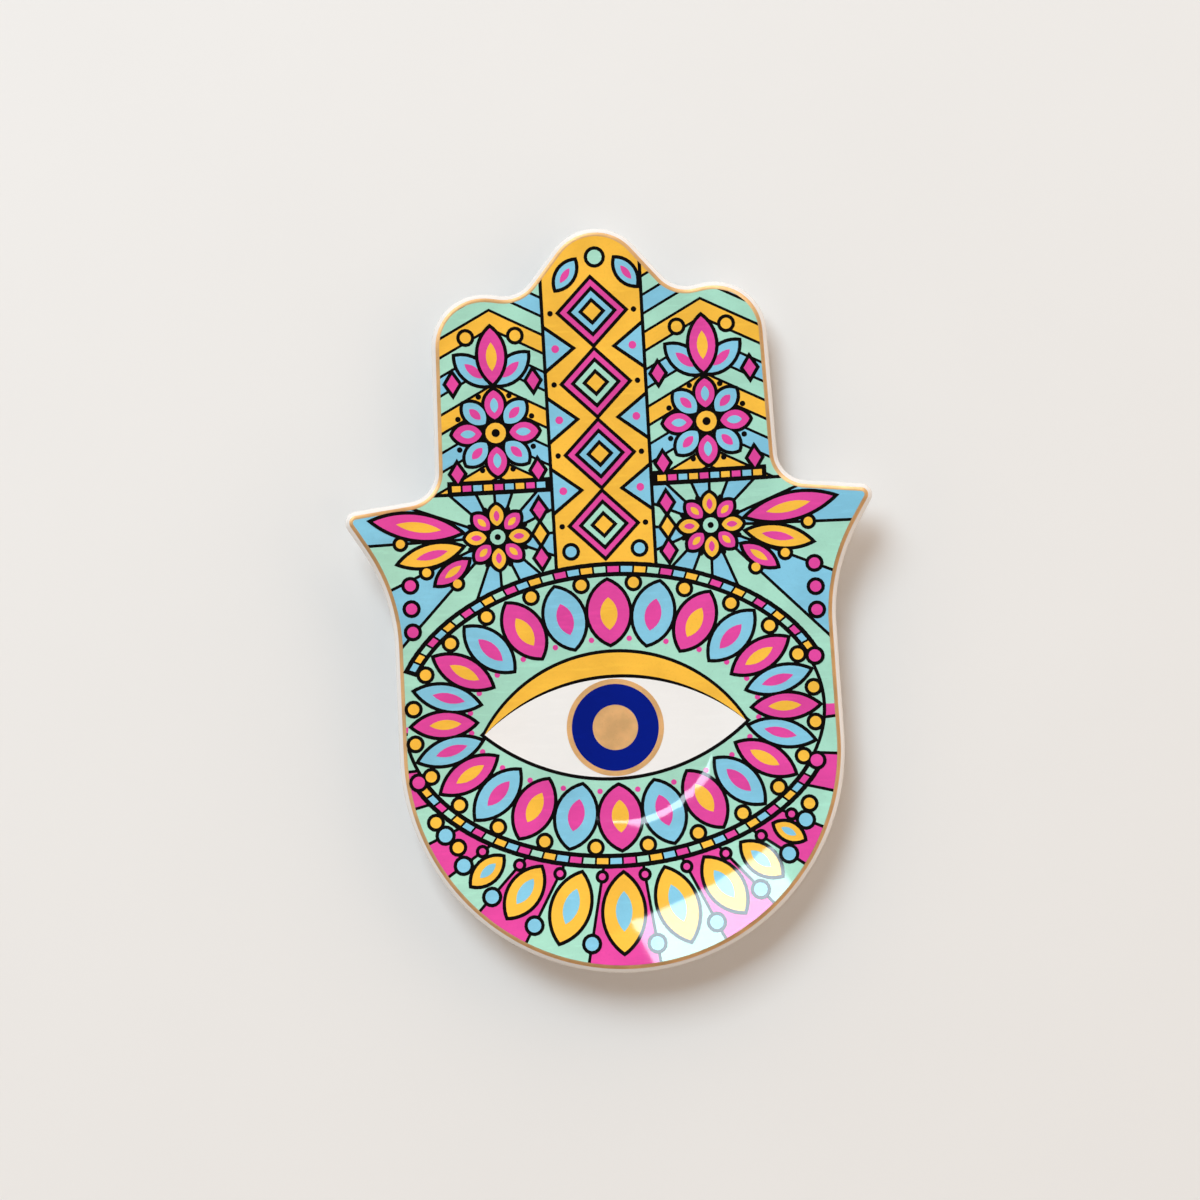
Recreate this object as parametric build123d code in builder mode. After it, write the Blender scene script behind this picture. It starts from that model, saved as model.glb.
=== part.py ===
from build123d import *
from math import acos, asin, atan, atan2, cos, degrees, radians, sin
import os

# A porcelain trinket dish in the shape of a hamsa hand. Millimetres and degrees. +Z is up, +Y points
# to the fingertips, and the origin lies under the middle of the hand, on the table.

# Outline of the hand, seen from above
hand_length = 160.0
palm_radius = 47.8
waist_inset = 0.5
thumb_span = 112.8
thumb_height = 101.4
thumb_droop = 7.1
thumb_under_angle = 58.7
thumb_root_radius = 40.0
crotch_radius = 6.5
finger_span = 72.2
finger_lean = 1.7
side_finger_height = 147.2
shoulder_radius = 11.4
shoulder_rise = 9.0
valley_radius = 7.0
fingertip_radius = 11.2
fingertip_slope = 50.0

# Section of the dish: a flat floor, a tight fold and a round wall, swept up to the fingertips. The
# thumbs flare out past the palm's width.
eye_height = 52.4
floor_half_width = 18.5
fold_radius = 20.0
fold_angle = 6.0
wall_radius = 102.6
flare_gap = 0.8
flare_radius = 20.0
flare_angle = 10.0
sweep_radius = 1500.0
wall_thickness = 3.2
lip_radius = 1.6
underlip_radius = 1.0

# Foot ring, a long oval under the floor
foot_height = 1.2
foot_radius = 24.0
foot_run = 40.0
foot_width = 2.6
foot_edge_radius = 0.5

# Fired-on gold and colours, drawn thicker than the real films
gold_margin = 0.95
gold_width = 1.0
film_thickness = 0.2
keyline_width = 0.75
field_tip_radius = 0.5
transfer_shift = -1.2

# Eye in the palm
eye_half_width = 28.2
eye_half_height = 10.7
eyelid_thickness = 4.7
iris_radius = 10.5
iris_ring_width = 1.1
pupil_radius = 4.9

# Flower of petals round the eye
petal_count = 24
petal_length = 13.6
petal_gap = 1.2
flower_margin = 0.9

# Leaves between the flower and the end of the palm
leaf_pairs = 5
leaf_pitch = 10.6
leaf_fullness = 0.26
leaf_gap = 1.2

# Middle finger
column_half_width = 10.4

# Places that follow from the sizes above
palm_end = -hand_length / 2
palm_centre = Vector(0, palm_end + palm_radius)
eye_y = palm_end + eye_height
floor_z = foot_height + wall_thickness
fold_end = floor_half_width + fold_radius * sin(radians(fold_angle))
wall_run = palm_radius + flare_gap - fold_end
wall_angle = degrees(asin(sin(radians(fold_angle)) + wall_run / wall_radius))
rim_inset = gold_margin + gold_width
thumb_tip_radius = rim_inset + field_tip_radius


def polar(centre, radius, angle):
    """The point at a radius and an angle from a centre."""
    return centre + Vector(radius * cos(radians(angle)), radius * sin(radians(angle)))


def meet(first, first_angle, second, second_angle):
    """The crossing of two lines, each given by a point and a direction."""
    along = polar(Vector(), 1, first_angle)
    other = polar(Vector(), 1, second_angle)
    between = second - first
    run = (between.X * other.Y - between.Y * other.X) / (along.X * other.Y - along.Y * other.X)
    return first + along * run


# Corners of the right half of the outline, from the palm up to the middle finger
fingertip_centre = Vector(0, hand_length / 2 - fingertip_radius)
fingertip_flank = polar(fingertip_centre, fingertip_radius, 90 - fingertip_slope)
shoulder_centre = Vector(finger_span / 2 - shoulder_radius, palm_end + side_finger_height - shoulder_radius)
shoulder_top = polar(shoulder_centre, shoulder_radius, 90 + shoulder_rise)
shoulder_side = polar(shoulder_centre, shoulder_radius, finger_lean)
thumb_half_angle = radians((thumb_under_angle + thumb_droop) / 2)
thumb_bisector = radians((thumb_under_angle - thumb_droop) / 2)
thumb_overrun = thumb_tip_radius * (cos(thumb_bisector) / sin(thumb_half_angle) - 1)
thumb_corner = Vector(thumb_span / 2 + thumb_overrun, palm_end + thumb_height)
apex = fingertip_centre + Vector(0, fingertip_radius / cos(radians(fingertip_slope)))
valley = meet(fingertip_flank, -fingertip_slope, shoulder_top, shoulder_rise)
shoulder = meet(shoulder_top, shoulder_rise, shoulder_side, finger_lean - 90)
crotch = meet(shoulder_side, finger_lean - 90, thumb_corner, -thumb_droop)
waist = meet(thumb_corner, thumb_under_angle, Vector(palm_radius - waist_inset, 0), 90)
palm_to_waist = waist - palm_centre
palm_side_angle = atan2(palm_to_waist.Y, palm_to_waist.X) - acos(palm_radius / palm_to_waist.length)
palm_side = polar(palm_centre, palm_radius, degrees(palm_side_angle))
right_corners = [palm_side, waist, thumb_corner, crotch, shoulder, valley]
left_corners = [Vector(-corner.X, corner.Y) for corner in reversed(right_corners)]
right_radii = [thumb_root_radius, thumb_tip_radius, crotch_radius, shoulder_radius, valley_radius]
corner_radii = right_radii + [fingertip_radius] + right_radii[::-1]

with BuildSketch() as hand:
    with BuildLine():
        FilletPolyline(*right_corners, apex, *left_corners, radius=corner_radii)
        ThreePointArc(left_corners[-1], Vector(0, palm_end), palm_side)
    make_face()

with BuildSketch() as field:
    offset(hand.sketch, -rim_inset)

with BuildSketch() as gold_line:
    offset(hand.sketch, -gold_margin)
    add(field.sketch, mode=Mode.SUBTRACT)


def section_line(rise, flared):
    """The dish's inner surface in section, moved square to itself by a rise, from its middle outwards."""
    floor = Line((0, floor_z + rise), (floor_half_width, floor_z + rise))
    fold = JernArc(floor @ 1, floor % 1, fold_radius - rise, fold_angle)
    if flared:
        wall = JernArc(fold @ 1, fold % 1, wall_radius - rise, wall_angle - fold_angle)
        flare = JernArc(wall @ 1, wall % 1, flare_radius + rise, flare_angle - wall_angle)
        edge = Line(flare @ 1, flare @ 1 + (flare % 1) * thumb_span)
    else:
        edge = JernArc(fold @ 1, fold % 1, wall_radius - rise, 2 * wall_angle)
    return floor @ 0, edge @ 1


def section_face(lower, upper, flared):
    """Half of the dish in section, between two levels."""
    with BuildSketch(mode=Mode.PRIVATE) as face:
        with BuildLine():
            lower_start, lower_end = section_line(lower, flared)
            upper_start, upper_end = section_line(upper, flared)
            Line(lower_start, upper_start)
            Line(lower_end, upper_end)
        make_face()
    return face.sketch


def dish_layer(lower, upper):
    """The solid between two levels of the dish, each measured square to the inner surface."""
    section_plane = Plane((0, eye_y, 0), x_dir=(1, 0, 0), z_dir=(0, -1, 0))
    sweep_angle = degrees(atan2(hand_length, sweep_radius))
    with BuildPart() as layer:
        with BuildSketch(section_plane):
            add(section_face(lower, upper, flared=False))
        revolve(axis=Axis((0, eye_y, 0), (0, 0, 1)), revolution_arc=-180)
        with BuildSketch(section_plane):
            add(section_face(lower, upper, flared=True))
            mirror(about=Plane.YZ)
        revolve(axis=Axis((0, eye_y, floor_z + sweep_radius), (1, 0, 0)), revolution_arc=sweep_angle)
    return layer.part


print_layer = dish_layer(0, film_thickness)

# Foot ring, let into half of the wall above it
with BuildPart() as foot_ring:
    with BuildSketch():
        with Locations((0, eye_y + foot_run / 2)):
            SlotCenterToCenter(foot_run, 2 * foot_radius, rotation=90)
            SlotCenterToCenter(foot_run, 2 * (foot_radius - foot_width), rotation=90, mode=Mode.SUBTRACT)
    extrude(amount=hand_length)
    add(dish_layer(-wall_thickness - foot_radius, -wall_thickness / 2), mode=Mode.INTERSECT)
    fillet(foot_ring.faces().sort_by(Axis.Z)[0].edges(), foot_edge_radius)

# Faces nearer to upright than to flat are the hand's edge
steepness = cos(radians(45))

# The dish cut to the hand's outline, with a rounded lip
with BuildPart() as dish:
    add(hand.sketch)
    extrude(amount=hand_length)
    add(dish_layer(-wall_thickness, 0), mode=Mode.INTERSECT)
    edge_walls = dish.faces().filter_by(lambda face: abs(face.normal_at().Z) < steepness)
    inside = dish.faces().filter_by(lambda face: face.normal_at().Z > steepness)
    lips = edge_walls.edges() & inside.edges()
    underlips = edge_walls.edges().filter_by(Axis.Z, reverse=True) - lips
    fillet(lips, lip_radius)
    fillet(underlips, underlip_radius)

# Gold line, the skin of the lip's crest
with BuildPart() as rim_gilding:
    add(gold_line.sketch)
    extrude(amount=hand_length)
    add(dish.part, mode=Mode.INTERSECT)
    add(Pos(0, 0, -film_thickness) * dish.part, mode=Mode.SUBTRACT)

# Porcelain body, on its foot ring
with BuildPart() as porcelain_body:
    add(dish.part)
    add(rim_gilding.part, mode=Mode.SUBTRACT)
    add(foot_ring.part)


def film(shapes):
    """A fired film: flat shapes laid on the inside of the dish."""
    with BuildPart() as patch:
        with BuildSketch():
            add(shapes)
        extrude(amount=hand_length)
        add(print_layer, mode=Mode.INTERSECT)
    return patch.part


def lens(start, end, half_width, grow=0):
    """A pointed oval from one point to another, as a petal or a leaf."""
    along = (end - start).normalized()
    across = along.rotate(Axis.Z, 90) * (half_width + grow)
    middle = (start + end) / 2
    tip_grow = grow / sin(2 * atan(2 * half_width / (end - start).length))
    first = start - along * tip_grow
    last = end + along * tip_grow
    with BuildSketch(mode=Mode.PRIVATE) as shape:
        with BuildLine():
            ThreePointArc(first, middle + across, last)
            ThreePointArc(last, middle - across, first)
        make_face()
    return shape.sketch


# The transfer lies a little off the middle of the dish, with the flower about the eye and its lid
eye_centre = Vector(transfer_shift, eye_y)
eye_ends = [eye_centre - Vector(eye_half_width, 0), eye_centre + Vector(eye_half_width, 0)]
lid_rise = (keyline_width + eyelid_thickness) / 2
flower_centre = eye_centre + Vector(0, lid_rise)
flower_eye = Vector(eye_half_width, eye_half_height + lid_rise)
flower_inner = flower_eye + Vector(1, 1) * (keyline_width + petal_gap)
flower_outer = flower_inner + Vector(1, 1) * petal_length
flower_edge = flower_outer + Vector(1, 1) * flower_margin
column_edge = column_half_width + keyline_width


def flower_point(half_axes, angle):
    """A point of an oval about the middle of the flower."""
    return flower_centre + Vector(half_axes.X * cos(radians(angle)), half_axes.Y * sin(radians(angle)))


# Petals round the eye, in two colours by turns
petal_pitch = 360 / petal_count
flower_middle = (flower_inner + flower_outer) / 2
petals = []
for index in range(petal_count):
    angle = 90 + index * petal_pitch
    middle = flower_point(flower_middle, angle)
    neighbours = [flower_point(flower_middle, angle + turn) for turn in (-petal_pitch, petal_pitch)]
    spacing = min((neighbour - middle).length for neighbour in neighbours)
    petal_ends = [flower_point(axes, angle) for axes in (flower_inner, flower_outer)]
    petals.append((*petal_ends, (spacing - keyline_width) / 2))

# Leaves that spread from the flower to the end of the palm
leaf_start = flower_edge + Vector(1, 1) * (2 * keyline_width + leaf_gap)
leaf_reach = palm_radius - rim_inset - 2 * keyline_width - leaf_gap
leaves = []
for step in range(-leaf_pairs, leaf_pairs + 1):
    start = flower_point(leaf_start, 270 + step * leaf_pitch)
    outward = start - palm_centre
    end = palm_centre + outward.normalized() * leaf_reach
    leaves.append((start, end, (end - start).length * leaf_fullness))

# The eye: a white almond under a lid, with a gold-edged iris
with BuildSketch() as almond:
    add(lens(*eye_ends, eye_half_height))
    with Locations(eye_centre):
        Circle(iris_radius, mode=Mode.SUBTRACT)

with BuildSketch() as eyelid:
    with BuildLine():
        lid_lower = eye_centre + Vector(0, eye_half_height + keyline_width)
        ThreePointArc(eye_ends[0], lid_lower + Vector(0, eyelid_thickness), eye_ends[1])
        ThreePointArc(eye_ends[1], lid_lower, eye_ends[0])
    make_face()

with BuildSketch() as iris_ring:
    with Locations(eye_centre):
        Circle(iris_radius)
        Circle(iris_radius - iris_ring_width, mode=Mode.SUBTRACT)

with BuildSketch() as iris:
    with Locations(eye_centre):
        Circle(iris_radius - iris_ring_width)
        Circle(pupil_radius, mode=Mode.SUBTRACT)

with BuildSketch() as pupil:
    with Locations(eye_centre):
        Circle(pupil_radius)

with BuildSketch() as eye_outline:
    add(lens(*eye_ends, eye_half_height, grow=keyline_width))
    with BuildLine():
        corner = Vector(keyline_width, 0)
        top = eye_centre + Vector(0, eye_half_height + 2 * keyline_width + eyelid_thickness)
        ThreePointArc(eye_ends[0] - corner, top, eye_ends[1] + corner)
        Line(eye_ends[1] + corner, eye_ends[0] - corner)
    make_face()

# Coloured grounds, parted by black lines
with BuildSketch() as flower_cut:
    with Locations(flower_centre):
        Ellipse(flower_edge.X + keyline_width, flower_edge.Y + keyline_width)

with BuildSketch() as flower_ground:
    with Locations(flower_centre):
        Ellipse(flower_edge.X, flower_edge.Y)
    add(field.sketch, mode=Mode.INTERSECT)
    add([lens(*petal, grow=keyline_width) for petal in petals] + [eye_outline.sketch], mode=Mode.SUBTRACT)

with BuildSketch() as palm_ground:
    add(field.sketch)
    with Locations(flower_centre):
        Rectangle(2 * thumb_span, 2 * hand_length, align=(Align.CENTER, Align.MIN), mode=Mode.SUBTRACT)
    leaf_cuts = [lens(*leaf, grow=keyline_width) for leaf in leaves]
    add([flower_cut.sketch] + leaf_cuts, mode=Mode.SUBTRACT)

with BuildSketch() as middle_ground:
    add(field.sketch)
    with Locations(flower_centre):
        Rectangle(2 * column_half_width, hand_length, align=(Align.CENTER, Align.MIN), mode=Mode.INTERSECT)
    add(flower_cut.sketch, mode=Mode.SUBTRACT)

with BuildSketch() as finger_ground:
    add(field.sketch)
    with Locations(eye_centre):
        Rectangle(2 * column_edge, 2 * hand_length, mode=Mode.SUBTRACT)
    with Locations(crotch):
        Rectangle(2 * thumb_span, 2 * hand_length, align=(Align.CENTER, Align.MAX), mode=Mode.SUBTRACT)

with BuildSketch() as thumb_ground:
    add(field.sketch)
    add(flower_cut.sketch, mode=Mode.SUBTRACT)
    with Locations(eye_centre):
        Rectangle(2 * column_edge, 2 * hand_length, mode=Mode.SUBTRACT)
    with Locations(flower_centre):
        Rectangle(2 * thumb_span, hand_length, align=(Align.CENTER, Align.MAX), mode=Mode.SUBTRACT)
    with Locations(crotch - Vector(0, keyline_width)):
        Rectangle(2 * thumb_span, hand_length, align=(Align.CENTER, Align.MIN), mode=Mode.SUBTRACT)

# The films of the print, by node
films = {
    "mint_enamel": [flower_ground.sketch, finger_ground.sketch],
    "magenta_enamel": [palm_ground.sketch] + [lens(*petal) for petal in petals[::2]],
    "amber_enamel": [middle_ground.sketch] + [lens(*leaf) for leaf in leaves],
    "sky_enamel": [thumb_ground.sketch] + [lens(*petal) for petal in petals[1::2]],
    "eye_white": [almond.sketch],
    "eyelid_enamel": [eyelid.sketch],
    "iris_gilding": [iris_ring.sketch],
    "iris_cobalt": [iris.sketch],
    "pupil_gilding": [pupil.sketch],
}

# Black fills whatever the colours leave open inside the gold line
with BuildSketch() as keyline:
    add(field.sketch)
    add([shape for shapes in films.values() for shape in shapes], mode=Mode.SUBTRACT)
films["black_keyline"] = [keyline.sketch]

os.makedirs("parts", exist_ok=True)
for name, piece in (("porcelain_body", porcelain_body), ("rim_gilding", rim_gilding)):
    piece.part.label = name
    export_step(piece.part, f"parts/{name}.step")

for name, shapes in films.items():
    with BuildPart() as enamel:
        add(film(shapes))
    enamel.part.label = name
    export_step(enamel.part, f"parts/{name}.step")
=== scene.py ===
from collections import namedtuple
from math import acos, asin, atan, atan2, ceil, copysign, cos, hypot, inf, pi, radians, sin, sqrt, tan
from types import SimpleNamespace

import bmesh
import bpy
from bpy.props import FloatProperty, FloatVectorProperty, IntProperty, PointerProperty
from mathutils import Matrix, Quaternion, Vector


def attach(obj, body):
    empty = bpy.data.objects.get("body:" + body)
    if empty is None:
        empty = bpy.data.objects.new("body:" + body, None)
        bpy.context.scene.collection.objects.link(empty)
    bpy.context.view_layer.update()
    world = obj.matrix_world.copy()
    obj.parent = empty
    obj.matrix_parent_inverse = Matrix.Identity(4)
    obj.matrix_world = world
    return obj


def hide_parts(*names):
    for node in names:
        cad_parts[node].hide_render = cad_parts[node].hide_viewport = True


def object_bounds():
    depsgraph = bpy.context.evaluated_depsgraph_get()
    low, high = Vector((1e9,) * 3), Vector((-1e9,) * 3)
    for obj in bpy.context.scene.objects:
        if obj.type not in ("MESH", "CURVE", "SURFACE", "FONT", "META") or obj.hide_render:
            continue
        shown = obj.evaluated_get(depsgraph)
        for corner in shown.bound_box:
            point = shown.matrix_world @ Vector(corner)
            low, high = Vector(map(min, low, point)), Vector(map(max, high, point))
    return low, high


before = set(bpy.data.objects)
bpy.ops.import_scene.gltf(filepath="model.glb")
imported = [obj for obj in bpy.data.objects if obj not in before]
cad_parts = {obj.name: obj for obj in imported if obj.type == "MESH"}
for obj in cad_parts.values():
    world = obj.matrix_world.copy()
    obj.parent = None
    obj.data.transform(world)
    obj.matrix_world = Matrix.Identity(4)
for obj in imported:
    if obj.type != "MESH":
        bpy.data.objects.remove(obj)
cad_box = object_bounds()
cad_size = cad_box[1] - cad_box[0]

bl_info = {
    "name": "Hamsa hand dish",
    "version": (1, 0, 0),
    "blender": (4, 5, 0),
    "location": "3D View > Sidebar > Dish",
    "description": "A printed porcelain trinket dish in the shape of a hand, with a gold line on its lip",
    "category": "Object",
}

MM = 0.001


def length(name, description, millimetres):
    """A length of the dish, kept in metres."""
    return FloatProperty(name=name, description=description, default=millimetres * MM, unit="LENGTH")


def angle(name, description, degrees):
    """An angle of the dish, kept in radians."""
    return FloatProperty(name=name, description=description, default=radians(degrees), subtype="ANGLE")


def colour(name, description, red, green, blue):
    """A colour, in linear light."""
    return FloatVectorProperty(
        name=name, description=description, default=(red, green, blue), subtype="COLOR", min=0, max=1
    )


def count(name, description, number):
    """A number of like motifs."""
    return IntProperty(name=name, description=description, default=number, min=1)


def amount(name, description, number):
    """A share or a strength."""
    return FloatProperty(name=name, description=description, default=number, min=0)


class HandSizes(bpy.types.PropertyGroup):
    """Outline of the hand, seen from above."""

    hand_length: length("Hand length", "From the palm's end to the middle finger's tip", cad_size.y / MM)
    thumb_span: length("Thumb span", "From one thumb's tip to the other's", cad_size.x / MM)
    palm_radius: length("Palm radius", "Round end of the palm", 47.8)
    waist_inset: length("Waist inset", "How far the waist lies inside the palm's width", 0.5)
    thumb_height: length("Thumb height", "From the end of the palm to the top of the thumbs", 101.4)
    thumb_droop: angle("Thumb droop", "Fall of the thumb's upper edge", 7.1)
    thumb_under_angle: angle("Thumb under angle", "Slope of the thumb's lower edge", 58.7)
    thumb_tip_radius: length("Thumb tip radius", "Round tip of the thumbs", 2.45)
    thumb_root_radius: length("Thumb root radius", "Hollow between the palm and the thumb", 40)
    crotch_radius: length("Crotch radius", "Hollow between the thumb and the fingers", 6.5)
    finger_span: length("Finger span", "Width over the three fingers", 72.2)
    finger_lean: angle("Finger lean", "Lean of the outer fingers' sides", 1.7)
    side_finger_height: length("Side finger height", "From the palm's end to their tips", 147.2)
    shoulder_radius: length("Shoulder radius", "Round tip of the outer fingers", 11.4)
    shoulder_rise: angle("Shoulder rise", "Rise of the outer fingers' tips outwards", 9)
    valley_radius: length("Valley radius", "Hollow beside the middle finger", 7)
    fingertip_radius: length("Fingertip radius", "Round tip of the middle finger", 11.2)
    fingertip_slope: angle("Fingertip slope", "Slope of the middle finger's flanks", 50)


class DishSizes(bpy.types.PropertyGroup):
    """Section of the dish and its foot ring."""

    eye_height: length("Eye height", "From the end of the palm to the middle of the eye", 52.4)
    floor_half_width: length("Floor half width", "Half of the flat floor", 18.5)
    fold_radius: length("Fold radius", "Bend from the floor to the wall", 20)
    fold_angle: angle("Fold angle", "Turn of that bend", 6)
    wall_radius: length("Wall radius", "Round wall", 102.6)
    flare_gap: length("Flare gap", "From the palm's width to the thumbs' flare", 0.8)
    flare_radius: length("Flare radius", "Bend of the flare", 20)
    flare_angle: angle("Flare angle", "Slope of the thumbs past the flare", 10)
    sweep_radius: length("Sweep radius", "Rise of the floor to the fingertips", 1500)
    wall_thickness: length("Wall thickness", "Porcelain, square to the surface", 3.2)
    lip_radius: length("Lip radius", "Round on the inner edge", 1.6)
    underlip_radius: length("Underlip radius", "Round on the outer edge", 1.0)
    foot_height: length("Foot height", "Foot ring below the floor", 1.2)
    foot_radius: length("Foot radius", "Half of the foot ring's width", 24)
    foot_run: length("Foot run", "Straight part of the foot ring", 40)
    foot_width: length("Foot width", "Width of the ring that stands on the table", 2.6)
    foot_edge_radius: length("Foot edge radius", "Round on the foot ring", 0.5)
    foot_fillet: length("Foot fillet", "Glaze that gathers along the foot ring", 0.6)
    gold_margin: length("Gold margin", "From the outline to the gold line", 0.95)
    gold_width: length("Gold width", "Gold line on the lip", 0.8)


class PrintSizes(bpy.types.PropertyGroup):
    """The fired-on print."""

    transfer_shift: length("Transfer shift", "How far the print lies off the middle", -1.2)
    keyline_width: length("Key line", "Black line round each shape", 0.75)
    eye_half_width: length("Eye half width", "Half of the eye's length", 28.2)
    eye_half_height: length("Eye half height", "Half of the eye's opening", 10.7)
    eyelid_thickness: length("Eyelid", "Thickness of the lid in its middle", 4.7)
    iris_radius: length("Iris radius", "Gold ring's outside", 10.5)
    iris_ring_width: length("Iris ring", "Width of the gold ring", 1.1)
    pupil_radius: length("Pupil radius", "Gold disc", 4.9)
    petal_count: count("Petals", "Petals round the eye", 24)
    petal_length: length("Petal length", "Petals round the eye", 13.6)
    petal_gap: length("Petal gap", "From the eye's outline to the petals", 1.2)
    flower_margin: length("Flower margin", "From the petals to the flower's edge", 0.9)
    leaf_pairs: count("Leaf pairs", "Leaves on each side of the palm", 5)
    leaf_pitch: angle("Leaf pitch", "From one leaf to the next", 10.6)
    leaf_fullness: amount("Leaf fullness", "Half width over length", 0.26)
    leaf_gap: length("Leaf gap", "Bare ground at the leaves' tips", 1.2)
    column_half_width: length("Column half width", "Half of the middle finger's ground", 10.4)
    lozenge_count: count("Diamonds", "Diamonds on the middle finger", 4)
    lozenge_width: length("Diamond width", "Half of a diamond's width", 6.9)
    lozenge_height: length("Diamond height", "Half of a diamond's height", 6.9)
    rosette_radius: length("Round flower", "Flowers on the outer fingers", 9.2)
    tulip_length: length("Finger leaves", "Leaves on the outer fingers", 12.6)
    thumb_flower_out: length("Thumb flower out", "From the middle to the thumb's flower", 23)
    chevron_count: count("Chevrons", "Slanting stripes on the outer fingers", 16)
    chevron_pitch: length("Chevron pitch", "From one slanting stripe to the next", 4.0)
    chevron_slant: angle("Chevron slant", "Slope of the slanting stripes", 28)
    band_width: length("Band width", "Striped bands", 1.7)
    stripe_pitch: length("Stripe pitch", "From one stripe to the next", 2.4)
    stripe_gap: length("Stripe gap", "Black between stripes", 0.45)
    ground_gap: length("Ground gap", "Black between the parts of a ground", 0.65)
    bead_radius: length("Bead radius", "Outlined dots between the petals and the leaves", 1.2)
    dot_radius: length("Dot radius", "Small plain dots", 0.6)
    film_thickness: length("First film", "Height of the black film on the porcelain", 0.06)
    layer_step: length("Layer step", "Height of each further colour", 0.025)


class DishColours(bpy.types.PropertyGroup):
    """Glaze, gold and enamels."""

    glaze: colour("Glaze", "White porcelain under clear glaze", 0.71, 0.70, 0.685)
    gold: colour("Gold", "Fired gold of the eye", 0.93, 0.54, 0.235)
    # Painted shade: the eye's gold made darker for the lip, so that the lip's highlights come out dimmer
    lip_gold: colour("Lip gold", "Thinner gold on the lip", 0.72, 0.44, 0.205)
    black: colour("Black", "Key lines", 0.003, 0.0026, 0.003)
    mint: colour("Mint", "Mint enamel", 0.381, 0.719, 0.577)
    magenta: colour("Magenta", "Magenta enamel", 0.74, 0.067, 0.352)
    amber: colour("Amber", "Amber enamel", 0.925, 0.512, 0.060)
    sky: colour("Sky", "Sky blue enamel", 0.227, 0.565, 0.76)
    white: colour("White", "White of the eye", 0.875, 0.87, 0.862)
    cobalt: colour("Cobalt", "Dark blue of the iris", 0.0006, 0.0102, 0.222)


class StageSettings(bpy.types.PropertyGroup):
    """Table, lights and camera."""

    table: colour("Table", "Pale table top", 0.785, 0.779, 0.77)
    room: colour("Room", "Warm light of the room", 1.0, 0.785, 0.62)
    window: colour("Window", "Cool light of the window", 0.74, 0.895, 1.0)
    room_strength: amount("Room light", "Light from low all round", 1.80)
    window_power: amount("Window light", "Soft light from one side", 73)
    fill_power: amount("Fill light", "Weak light from the near right", 1.5)
    ceiling_power: amount("Ceiling light", "Small panel that the bend about the floor mirrors", 4.0)
    camera_height: length("Camera height", "Above the table", 760)
    frame_width: length("Frame width", "What the picture takes in at the height of the lip", 257)


SETTINGS = {
    "dish_hand": HandSizes,
    "dish_section": DishSizes,
    "dish_print": PrintSizes,
    "dish_colours": DishColours,
    "dish_stage": StageSettings,
}


def plain(group):
    """The sizes of a group as plain numbers: lengths in millimetres, angles in radians."""
    found = {}
    for key in group.__annotations__:
        unit = group.bl_rna.properties[key].unit
        found[key] = getattr(group, key) / MM if unit == "LENGTH" else getattr(group, key)
    return SimpleNamespace(**found)


def polar(centre, radius, turn):
    """The point at a radius and an angle from a centre."""
    return centre + Vector((radius * cos(turn), radius * sin(turn)))


def meet(first, first_turn, second, second_turn):
    """The crossing of two lines, each given by a point and a direction."""
    along = polar(Vector((0, 0)), 1, first_turn)
    other = polar(Vector((0, 0)), 1, second_turn)
    return first + along * ((second - first).cross(other) / along.cross(other))


# Room for rounding where two stretches of the outline meet
SLACK = 0.01
# Half of the step that a slope is taken over
PROBE = 0.01

# A rounded corner: its centre, its radius, the direction it starts in and how far it turns
Bend = namedtuple("Bend", "centre radius start turn")


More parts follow.
